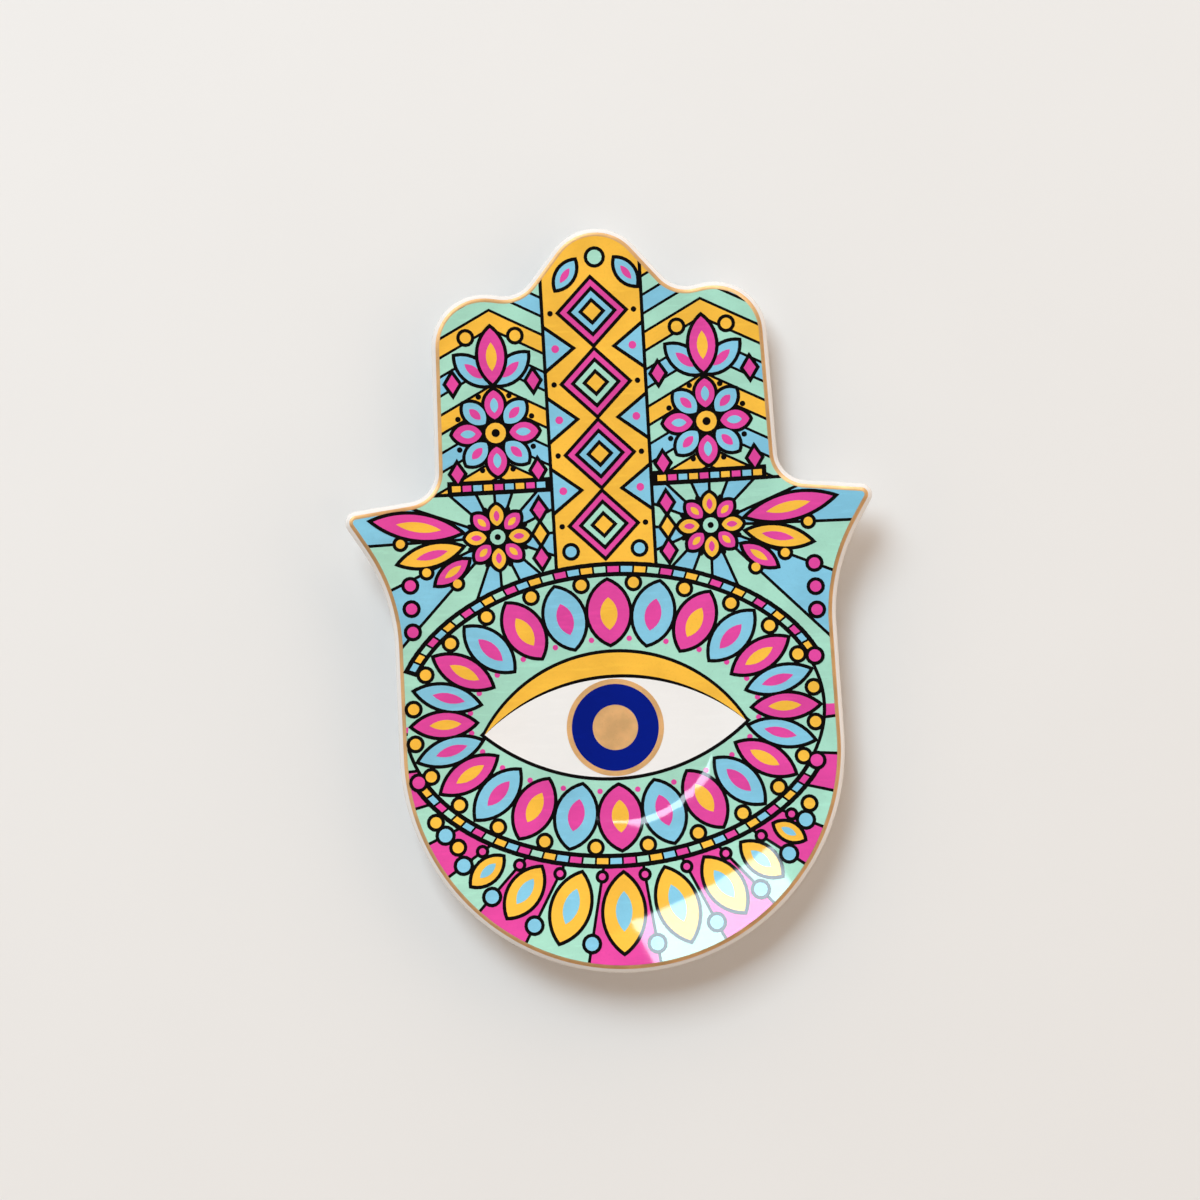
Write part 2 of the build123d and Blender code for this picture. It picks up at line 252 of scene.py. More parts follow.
class Dish:
    """The shape of the dish in millimetres: its outline, its inner surface and its lip."""

    def __init__(self, scene):
        self.hand = plain(scene.dish_hand)
        self.section = plain(scene.dish_section)
        hand, section = self.hand, self.section
        self.palm_end = -hand.hand_length / 2
        self.palm_centre = Vector((0, self.palm_end + hand.palm_radius))
        self.eye_y = self.palm_end + section.eye_height
        self.floor_z = section.foot_height + section.wall_thickness
        fold_end = section.floor_half_width + section.fold_radius * sin(section.fold_angle)
        wall_run = hand.palm_radius + section.flare_gap - fold_end
        self.wall_angle = asin(sin(section.fold_angle) + wall_run / section.wall_radius)
        self.lip_edge = section.lip_radius * (1 + sin(self.wall_angle))
        self.rim_inset = section.gold_margin + section.gold_width
        self.bends = self.hand_bends()
        upper = Vector((0, self.eye_y + section.foot_run))
        lower = Vector((0, self.eye_y))
        ends = (upper, 0), (lower, pi)
        self.foot_bends = [Bend(centre, section.foot_radius, start, pi) for centre, start in ends]

    def hand_bends(self):
        """The rounded corners of the outline, from the palm's right side round to the palm's end."""
        hand = self.hand
        tip_centre = Vector((0, hand.hand_length / 2 - hand.fingertip_radius))
        tip_flank = polar(tip_centre, hand.fingertip_radius, pi / 2 - hand.fingertip_slope)
        finger_top = self.palm_end + hand.side_finger_height
        shoulder_x = hand.finger_span / 2 - hand.shoulder_radius
        shoulder_centre = Vector((shoulder_x, finger_top - hand.shoulder_radius))
        shoulder_top = polar(shoulder_centre, hand.shoulder_radius, pi / 2 + hand.shoulder_rise)
        shoulder_side = polar(shoulder_centre, hand.shoulder_radius, hand.finger_lean)
        half_angle = (hand.thumb_under_angle + hand.thumb_droop) / 2
        bisector = (hand.thumb_under_angle - hand.thumb_droop) / 2
        overrun = hand.thumb_tip_radius * (cos(bisector) / sin(half_angle) - 1)
        thumb = Vector((hand.thumb_span / 2 + overrun, self.palm_end + hand.thumb_height))
        apex = tip_centre + Vector((0, hand.fingertip_radius / cos(hand.fingertip_slope)))
        valley = meet(tip_flank, -hand.fingertip_slope, shoulder_top, hand.shoulder_rise)
        side_line = hand.finger_lean - pi / 2
        shoulder = meet(shoulder_top, hand.shoulder_rise, shoulder_side, side_line)
        self.crotch = meet(shoulder_side, side_line, thumb, -hand.thumb_droop)
        waist_side = Vector((hand.palm_radius - hand.waist_inset, 0))
        waist = meet(thumb, hand.thumb_under_angle, waist_side, pi / 2)
        reach = waist - self.palm_centre
        palm_turn = atan2(reach.y, reach.x) - acos(hand.palm_radius / reach.length)
        palm_side = polar(self.palm_centre, hand.palm_radius, palm_turn)
        right = [palm_side, waist, thumb, self.crotch, shoulder, valley]
        left = [Vector((-corner.x, corner.y)) for corner in reversed(right)]
        radii = [hand.thumb_root_radius, hand.thumb_tip_radius, hand.crotch_radius]
        radii += [hand.shoulder_radius, hand.valley_radius]
        corners = right + [apex] + left
        bends = []
        for before, corner, after, radius in zip(
            corners, corners[1:], corners[2:], radii + [hand.fingertip_radius] + radii[::-1]
        ):
            inward = (corner - before).normalized()
            outward = (after - corner).normalized()
            turn = atan2(inward.cross(outward), inward.dot(outward))
            begin = corner - inward * radius * tan(abs(turn) / 2)
            centre = begin + Vector((-inward.y, inward.x)) * copysign(radius, turn)
            spoke = begin - centre
            bends.append(Bend(centre, radius, atan2(spoke.y, spoke.x), turn))
        bends.append(Bend(self.palm_centre, hand.palm_radius, pi - palm_turn, pi + 2 * palm_turn))
        return bends

    def height(self, reach, rise, flared):
        """Height over the floor, at a reach from the section's middle, moved square to it by a rise."""
        section = self.section
        start, level = section.floor_half_width, rise
        if reach <= start:
            return level
        arcs = [
            (section.fold_radius - rise, 0, section.fold_angle),
            (section.wall_radius - rise, section.fold_angle, self.wall_angle if flared else pi / 2),
            (-section.flare_radius - rise, self.wall_angle, section.flare_angle),
        ]
        for radius, first, last in arcs:
            stop = start + radius * (sin(last) - sin(first))
            if reach <= stop:
                slope = sin(first) + (reach - start) / radius
                return level + radius * (cos(first) - sqrt(1 - slope**2))
            level += radius * (cos(first) - cos(last))
            start = stop
        return level + (reach - start) * tan(section.flare_angle)

    def surface(self, x, y, rise):
        """Height of the inside of the dish over the table, moved square to itself by a rise."""
        along = y - self.eye_y
        if along < 0:
            return self.floor_z + self.height(hypot(x, along), rise, flared=False)
        sweep = self.section.sweep_radius
        reach = sweep - self.height(abs(x), rise, flared=True)
        return self.floor_z + sweep - sqrt(reach**2 - along**2)

    def edge(self, x, y):
        """How far a point lies inside the outline, and the direction out of it there."""
        point = Vector((x, y))
        best = (inf, None)
        for bend, following in zip(self.bends, self.bends[1:] + self.bends[:1]):
            spoke = point - bend.centre
            swing = (atan2(spoke.y, spoke.x) - bend.start - bend.turn / 2 + pi) % (2 * pi) - pi
            if abs(swing) <= abs(bend.turn) / 2 + SLACK:
                gap = abs(bend.radius - spoke.length)
                best = min(best, (gap, tuple(spoke.normalized() * copysign(1, bend.turn))))
            begin = polar(bend.centre, bend.radius, bend.start + bend.turn)
            end = polar(following.centre, following.radius, following.start)
            run = end - begin
            if -SLACK <= (point - begin).dot(run.normalized()) <= run.length + SLACK:
                side = Vector((run.y, -run.x)).normalized()
                best = min(best, (abs((point - begin).dot(side)), tuple(side)))
        return best

    def rounded(self, x, y, rise, radius):
        """Height near the outline, where a round turns it down, or up if its radius is negative."""
        inset, outward = self.edge(x, y)
        step_x, step_y = outward[0] * PROBE, outward[1] * PROBE
        ahead = self.surface(x + step_x, y + step_y, rise)
        behind = self.surface(x - step_x, y - step_y, rise)
        slope = (ahead - behind) / (2 * PROBE)
        level = self.surface(x, y, rise)
        size = abs(radius)
        if inset >= size * (1 + slope / sqrt(1 + slope**2) * copysign(1, radius)):
            return level
        centre = level + slope * (inset - size) - radius * sqrt(1 + slope**2)
        return centre + copysign(sqrt(max(size**2 - (size - inset) ** 2, 0)), radius)

    def lip(self, x, y, rise):
        """Height of the inside and of the lip's round, moved square to itself by a rise."""
        return self.rounded(x, y, rise, self.section.lip_radius)


# Steps along an arc, as a length and as a turn, and of the grid that faces are cut along
ARC_STEP, ARC_TURN, GRID_STEP = 1.1, radians(6), 1.25
# Points closer than this are one
MERGE = 1e-4


def draw(bm, vert, steps, **motion):
    """Draws a line on from a vertex, in steps that turn or move. Gives back its far end."""
    line = bmesh.ops.spin(bm, geom=[vert], axis=(0, 0, 1), steps=steps, **motion)
    return next(item for item in line["geom_last"] if isinstance(item, bmesh.types.BMVert))


def closed(bm, first, last):
    """Joins the ends of a line. Gives back its edges."""
    edge = bm.edges.new((last, first))
    edges = []
    while edge not in edges[:1]:
        edges.append(edge)
        first = edge.other_vert(first)
        edge = next(other for other in first.link_edges if other is not edge)
    return edges


def wire(bm, bends, inset=0.0, level=0.0):
    """A closed line of arcs and straight runs, moved inwards. Gives back its edges."""
    first = last = None
    for bend in bends:
        reach = bend.radius - copysign(inset, bend.turn)
        if reach > 0:
            start = polar(bend.centre, reach, bend.start)
        else:
            start = polar(bend.centre, reach / cos(bend.turn / 2), bend.start + bend.turn / 2)
        if last is None:
            first = last = bm.verts.new((*start, level))
        else:
            run = Vector((*start, level)) - last.co
            steps = ceil(run.length / ARC_STEP)
            last = draw(bm, last, steps, dvec=run / steps)
        if reach > 0:
            steps = ceil(max(abs(bend.turn) * bend.radius / ARC_STEP, abs(bend.turn) / ARC_TURN))
            last = draw(bm, last, steps, cent=(*bend.centre, level), angle=bend.turn)
    run = first.co - last.co
    steps = ceil(run.length / ARC_STEP)
    last = draw(bm, last, steps - 1, dvec=run / steps)
    return closed(bm, first, last)


def filled(bm, edges):
    """The face inside a closed line."""
    return bmesh.ops.edgeloop_fill(bm, edges=edges)["faces"][0]


def cut_grid(bm):
    """Cuts every face along a square grid, so that it can follow the dish."""
    for axis in (Vector((1, 0, 0)), Vector((0, 1, 0))):
        places = [axis.dot(vert.co) for vert in bm.verts]
        step = ceil(min(places) / GRID_STEP)
        while step * GRID_STEP < max(places):
            everything = bm.verts[:] + bm.edges[:] + bm.faces[:]
            bmesh.ops.bisect_plane(
                bm, geom=everything, dist=MERGE, plane_co=axis * step * GRID_STEP, plane_no=axis
            )
            step += 1


# Edges that turn further than this stay sharp
SHARP = radians(40)


def piece(bm, name, material, slot, *nodes):
    """Makes a finished piece of a closed mesh in millimetres, in place of its solids."""
    bmesh.ops.recalc_face_normals(bm, faces=bm.faces[:])
    for face in bm.faces:
        face.smooth = True
    for edge in bm.edges:
        edge.smooth = edge.calc_face_angle(0) < SHARP
    bmesh.ops.scale(bm, vec=(MM, MM, MM), verts=bm.verts[:])
    mesh = bpy.data.meshes.new(name)
    bm.to_mesh(mesh)
    bm.free()
    mesh.materials.append(material)
    made = bpy.data.objects.new(name, mesh)
    bpy.context.scene.collection.objects.link(made)
    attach(made, "root")
    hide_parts(*nodes)
    return made


class Value:
    """A shader socket that takes part in sums as a number does."""

    def __init__(self, shades, socket):
        self.shades = shades
        self.socket = socket

    def math(self, operation, first, second):
        return self.shades.node("ShaderNodeMath", {"operation": operation}, {0: first, 1: second})

    def __add__(self, other):
        return self.math("ADD", self, other)

    def __radd__(self, other):
        return self.math("ADD", other, self)

    def __sub__(self, other):
        return self.math("SUBTRACT", self, other)

    def __rsub__(self, other):
        return self.math("SUBTRACT", other, self)

    def __mul__(self, other):
        return self.math("MULTIPLY", self, other)

    def __rmul__(self, other):
        return self.math("MULTIPLY", other, self)


class Shades:
    """The nodes of a material or of the world."""

    def __init__(self, owner):
        owner.use_nodes = True
        self.tree = owner.node_tree

    def node(self, kind, settings=None, inputs=None, output=0):
        """A node of a kind, with its settings made first and then its inputs. Gives back one output."""
        made = self.tree.nodes.new(kind)
        for key, value in (settings or {}).items():
            setattr(made, key, value)
        for key, value in (inputs or {}).items():
            self.feed(made.inputs[key], value)
        return Value(self, made.outputs[output])

    def feed(self, socket, value):
        """Links a socket or sets it."""
        if isinstance(value, Value):
            self.tree.links.new(value.socket, socket)
        else:
            socket.default_value = value

    def mix(self, factor, first, second):
        """A blend of two colours."""
        inputs = {0: factor, 6: first, 7: second}
        return self.node("ShaderNodeMix", {"data_type": "RGBA"}, inputs, output=2)

    def noise(self, place, size, detail=2.0):
        """Soft cloudy variation from 0 to 1, of a size in millimetres."""
        inputs = {"Vector": place, "Scale": 1 / (size * MM), "Detail": detail}
        return self.node("ShaderNodeTexNoise", {}, inputs)

    def spread(self, value, low, high):
        """A value stretched so that low becomes 0 and high becomes 1."""
        inputs = {"Value": value, "From Min": low, "From Max": high}
        return self.node("ShaderNodeMapRange", {"interpolation_type": "SMOOTHSTEP"}, inputs)


def finish(name, **constants):
    """A new material with its shader's constants set, its nodes and the piece's own coordinates."""
    material = bpy.data.materials.new(name)
    shades = Shades(material)
    shader = shades.tree.nodes["Principled BSDF"]
    for key, value in constants.items():
        shader.inputs[key.replace("_", " ").title().replace("Ior", "IOR")].default_value = value
    place = shades.node("ShaderNodeTexCoord", output="Object")
    return material, shades, shader, place


def tone(rgb, amount):
    """A colour made darker or lighter."""
    return (*(min(channel * amount, 1.0) for channel in rgb), 1.0)


# Iron specks in the porcelain
SPECK_BROWN = (0.36, 0.28, 0.20, 1)


def clear_coat(shades, shader, place):
    """The fired gloss over everything: nearly smooth, with the slow waves of a dipped glaze."""
    waves = shades.noise(place, size=7, detail=1.0) + 0.25 * shades.noise(place, size=1.6, detail=1.0)
    relief = {"Strength": 0.10, "Distance": 0.0004, "Height": waves}
    shades.feed(shader.inputs["Normal"], shades.node("ShaderNodeBump", {}, relief))


def porcelain(rgb, foot_edge):
    """White glazed porcelain with a bare, rougher foot."""
    material, shades, shader, place = finish("white_glaze", specular_ior_level=0.15, coat_roughness=0.08)
    clouds = shades.spread(shades.noise(place, size=16, detail=3.0), 0.3, 0.7)
    body = shades.mix(clouds, tone(rgb, 0.965), tone(rgb, 1.02))
    cells = {"Vector": place, "Scale": 260}
    specks = shades.node("ShaderNodeTexVoronoi", {}, cells, output="Distance")
    rare = shades.spread(shades.noise(place, size=2.3, detail=0.0), 0.72, 0.8)
    speck = (1 - shades.spread(specks, 0.04, 0.09)) * rare
    body = shades.mix(0.45 * speck, body, SPECK_BROWN)
    height = shades.node("ShaderNodeSeparateXYZ", {}, {0: place}, output="Z")
    bare = 1 - shades.spread(height, foot_edge * 0.7, foot_edge)
    grain = shades.noise(place, size=0.5, detail=4.0)
    body = shades.mix(bare, body, shades.mix(grain, tone(rgb, 0.80), tone(rgb, 0.93)))
    shades.feed(shader.inputs["Base Color"], body)
    shades.feed(shader.inputs["Roughness"], 0.12 + 0.06 * clouds + 0.58 * bare)
    shades.feed(shader.inputs["Coat Weight"], 0.10 * (1 - bare))
    clear_coat(shades, shader, place)
    return material


def enamel(name, rgb, unevenness=1.0):
    """A fired colour, washed a little unevenly, under the clear gloss."""
    material, shades, shader, place = finish(
        name, specular_ior_level=0.0, roughness=0.5, coat_weight=1.0, coat_roughness=0.05, coat_ior=1.6
    )
    wash = shades.spread(shades.noise(place, size=11, detail=3.0), 0.34, 0.68)
    stretch = {"Vector": place, "Rotation": (0, 0, 0.5), "Scale": (1, 6, 1)}
    streaks = shades.noise(shades.node("ShaderNodeMapping", {}, stretch), size=6, detail=3.0)
    grain = shades.noise(place, size=0.45, detail=3.0)
    body = shades.mix(wash, tone(rgb, 1 - 0.05 * unevenness), tone(rgb, 1 + 0.08 * unevenness))
    body = shades.mix(0.5 * shades.spread(streaks, 0.5, 0.72), body, tone(rgb, 1 + 0.16 * unevenness))
    body = shades.mix(0.3 * shades.spread(grain, 0.5, 0.8), body, tone(rgb, 1 - 0.2 * unevenness))
    shades.feed(shader.inputs["Base Color"], body)
    clear_coat(shades, shader, place)
    return material


def fired_gold(name, rgb, satin):
    """Gold, brushed on by hand and fired, a little thin in places."""
    material, shades, shader, place = finish(name, metallic=1.0)
    clouds = shades.noise(place, size=5, detail=3.0)
    grain = shades.noise(place, size=0.35, detail=4.0)
    body = shades.mix(shades.spread(clouds, 0.3, 0.7), tone(rgb, 0.88), tone(rgb, 1.08))
    thin = shades.spread(grain, 0.62, 0.80)
    body = shades.mix(0.5 * thin, body, tone(rgb, 0.55))
    shades.feed(shader.inputs["Base Color"], body)
    shades.feed(shader.inputs["Roughness"], satin + 0.16 * grain)
    relief = {"Strength": 0.15, "Distance": 0.0001, "Height": grain}
    shades.feed(shader.inputs["Normal"], shades.node("ShaderNodeBump", {}, relief))
    return material


def table_top(rgb):
    """A matt pale table."""
    material, shades, shader, place = finish("table_top", roughness=0.7)
    clouds = shades.noise(place, size=60, detail=4.0)
    shades.feed(shader.inputs["Base Color"], shades.mix(clouds, tone(rgb, 0.985), tone(rgb, 1.015)))
    return material


# Levels that black shapes take in turn, since they run into each other, and the step between two of them
HAIRS, HAIR = 97, 0.0064
# Sides of a small disc, at least, of a ring and of an oval
DISC_SIDES, RING_SIDES, OVAL_SIDES = 16, 72, 180


class Sheets:
    """Flat shapes, gathered by colour, each at the level of its layer."""

    def __init__(self, dish, sizes, *colours):
        self.dish = dish
        self.sizes = sizes
        self.meshes = {key: bmesh.new() for key in colours}
        self.shapes = 0

    def level(self, tint, layer):
        """The level of a new shape. A black one lies a hair above or below its neighbours."""
        self.shapes += 1
        return layer + self.shapes % HAIRS * HAIR if tint == "black" else layer

    def hand(self, tint, layer, inset, *limits):
        """The hand's outline, less what lies past each limit, which is a point and a direction."""
        bm = self.meshes[tint]
        face = filled(bm, wire(bm, self.dish.bends, inset, layer))
        self.trim(bm, face, limits)

    def trim(self, bm, face, limits):
        """Cuts away what lies past each limit."""
        faces = [face]
        for point, direction in limits:
            part = set(faces)
            part.update(item for face in faces for item in (*face.verts, *face.edges))
            cut = bmesh.ops.bisect_plane(
                bm,
                geom=list(part),
                dist=MERGE,
                plane_co=(*point, 0),
                plane_no=(*direction, 0),
                clear_outer=True,
            )
            faces = [item for item in cut["geom"] if isinstance(item, bmesh.types.BMFace)]

    def patch(self, tint, layer, corners, bulges):
        """A shape between corners, taken counter-clockwise, with each side bulging out by its amount."""
        bm = self.meshes[tint]
        layer = self.level(tint, layer)
        first = last = bm.verts.new((*corners[0], layer))
        for start, end, bulge in zip(corners, corners[1:] + corners[:1], bulges):
            run = end - start
            closing = end is corners[0]
            if bulge == 0:
                if not closing:
                    last = draw(bm, last, 1, dvec=(*run, 0))
                continue
            half = run.length / 2
            radius = (half**2 + bulge**2) / (2 * bulge)
            outward = Vector((run.y, -run.x)).normalized()
            centre = start.lerp(end, 0.5) + outward * (bulge - radius)
            swing = copysign(2 * atan2(half, abs(radius) - abs(bulge)), bulge)
            steps = ceil(max(run.length / ARC_STEP, abs(swing) / ARC_TURN / 2))
            made = steps - 1 if closing else steps
            last = draw(bm, last, made, cent=(*centre, layer), angle=swing * made / steps)
        filled(bm, closed(bm, first, last))

    def polygon(self, tint, layer, corners, grow=0.0):
        """A shape with straight sides, its corners taken counter-clockwise."""
        grown = []
        for before, corner, after in zip(corners[-1:] + corners[:-1], corners, corners[1:] + corners[:1]):
            come, go = (corner - before).normalized(), (after - corner).normalized()
            out = Vector((come.y + go.y, -come.x - go.x))
            grown.append(corner + out * grow / (1 + come.dot(go)))
        self.patch(tint, layer, grown, [0] * len(grown))

    def lens(self, tint, layer, start, end, half_width, grow=0.0):
        """A pointed oval from one point to another, as a petal or a leaf."""
        run = end - start
        reach = run.normalized() * grow / sin(2 * atan(2 * half_width / run.length))
        self.patch(tint, layer, [start - reach, end + reach], [half_width + grow] * 2)

    def disc(self, tint, layer, centre, radius, grow=0.0):
        """A round dot."""
        place = Matrix.Translation((*centre, self.level(tint, layer)))
        segments = max(DISC_SIDES, ceil(2 * pi * radius / ARC_STEP))
        bmesh.ops.create_circle(
            self.meshes[tint], cap_ends=True, segments=segments, radius=radius + grow, matrix=place
        )

    def oval(self, tint, layer, centre, half_axes, limits):
        """An oval, less what lies past each limit."""
        level = Matrix.Translation((*centre, self.level(tint, layer)))
        place = level @ Matrix.Diagonal((*half_axes, 1, 1))
        bm = self.meshes[tint]
        rim = bmesh.ops.create_circle(bm, cap_ends=True, segments=OVAL_SIDES, radius=1, matrix=place)
        self.trim(bm, rim["verts"][0].link_faces[0], limits)

    def ring(self, tint, layer, centre, outer, inner):
        """A flat ring."""
        bm = self.meshes[tint]
        place = Matrix.Translation((*centre, layer))
        lines = []
        for radius in (outer, inner):
            verts = bmesh.ops.create_circle(bm, segments=RING_SIDES, radius=radius, matrix=place)["verts"]
            lines += {edge for vert in verts for edge in vert.link_edges}
        bmesh.ops.bridge_loops(bm, edges=lines)

    def fire(self, tint, height):
        """Gives the shapes of one colour their thickness, at heights over the table."""
        bm = self.meshes.pop(tint)
        bmesh.ops.remove_doubles(bm, verts=bm.verts[:], dist=MERGE)
        cut_grid(bm)
        raised = bmesh.ops.extrude_face_region(bm, geom=bm.faces[:], use_keep_orig=True)["geom"]
        tops = {item for item in raised if isinstance(item, bmesh.types.BMVert)}
        for vert in bm.verts:
            rise = vert.co.z * self.sizes.layer_step
            if vert in tops:
                rise += self.sizes.film_thickness
            vert.co.z = height(vert.co.x, vert.co.y, rise)
        return bm


UP, DOWN = Vector((0, 1)), Vector((0, -1))
RIGHT, LEFT = Vector((1, 0)), Vector((-1, 0))
BOTH = Vector((1, 1))

# Heart of a leaf: where it starts and ends along the leaf, and its share of the width
HEART_START, HEART_END, HEART_WIDTH = 0.22, 0.74, 0.42
# How much smaller each nested diamond is, and half the width and height of the small ones
NEST_STEP, SMALL_DIAMOND = 0.36, (1.3, 2.0)
# Round flower: its petals, and its heart, the place of its dots and its core, as shares of its sizes
ROSETTE_PETALS = 8
ROSETTE_HEART, ROSETTE_DOTS, ROSETTE_CORE = 0.24, 0.93, 0.4

# Rays of the palm's ground past the leaves on each side
EDGE_RAYS, EDGE_RAY_PITCH = 4, radians(10)
# Slanting stripes that start below an outer finger
LOW_CHEVRONS = 2

# Flower about the eye: cuts, a degree apart, on each side of level, that keep it off the gold line
FLOWER_CUTS = 20
# Stretches of the striped ring, how far past its ends the beads lie, and their size against others
HOOP_STRETCHES = (radians(22), radians(158)), (radians(205), radians(335))
HOOP_BEAD_TURN, HOOP_BEAD = radians(2.6), 1.1
# How far the beads and dots between the petals lie from the petals' outer and inner ends
PETAL_BEAD_INSET, PETAL_DOT_INSET = 0.4, 1.1

# Palm: length that a leaf needs, in bead radii
LEAF_ROOM = 4
# Beads between its leaves: sizes at the outer and at the inner end, and the inner one's distance
PALM_END_BEAD, PALM_ROOT_BEAD, PALM_ROOT_GAP = 1.2, 0.6, 0.5

# Middle finger: how far its black dots lie from its sides
COLUMN_DOT_MARGIN = 1.4
# Its half diamonds: height against a diamond's, depth against the ground's, place and size of the dot
HALF_DIAMOND_HEIGHT, HALF_DIAMOND_DEPTH = 0.6, 0.52
HALF_DIAMOND_DOT, HALF_DIAMOND_DOT_SIZE = 0.2, 1.4
# Bead below the fingertip, and the leaves' ends out and down from that bead, with their half width
TIP_DROP, TIP_BEAD = 6.2, 1.3
TIP_LEAF_START, TIP_LEAF_END, TIP_LEAF_WIDTH = (8.6, 6.4), (4.4, 0.6), 1.7
# Beads at the middle finger's root, out from its middle and up from the striped ring
ROOT_BEAD_OUT, ROOT_BEAD_UP = 7.4, 2.6

# Outer fingers: each leaf's layer, lean, colour and heart, its loss of length with lean and its fullness
FINGER_LEAVES = (2, 0.85, "sky", "magenta"), (2, -0.85, "sky", "magenta"), (4, 0.0, "magenta", "amber")
FINGER_LEAF_LOSS, FINGER_LEAF_FULLNESS = 0.22, 0.22
# Lean and distance of the beads between the leaves
FINGER_BEAD_LEAN, FINGER_BEAD_REACH = 0.46, 0.95
# Diamonds in the corners: distance from the side, and heights as shares of the flower's radius
CORNER_MARGIN, CORNER_HEIGHTS = 1.6, (0.1, -2.0)

# Thumbs: the flower's size against the fingers' one, the rays about it and the first leaf's heading
THUMB_FLOWER, THUMB_RAYS, THUMB_HEADING = 0.75, 16, radians(10)
# Lengths of the leaves, their distance from the flower in key lines, and their least and added width
THUMB_LEAVES, THUMB_LEAF_GAP = (18.5, 13.5, 8.5), 1.6
THUMB_LEAF_LEAST, THUMB_LEAF_FULLNESS = 1.0, 0.085
# Beads between the leaves: distance as a share of the leaf, and size
THUMB_BEAD_REACH, THUMB_BEAD = 0.75, 0.8
# Column of diamonds beside the middle finger
THUMB_DIAMOND_OUT, THUMB_DIAMOND_DROP, THUMB_DIAMOND_PITCH = 2.6, 3.0, 5.2
# Beads down the side of the palm: how many, the first one's height over the eye, and their places
WAIST_BEADS, WAIST_BEAD_TOP, WAIST_BEAD_PITCH, WAIST_BEAD_INSET = 3, 33, 5, 4.4


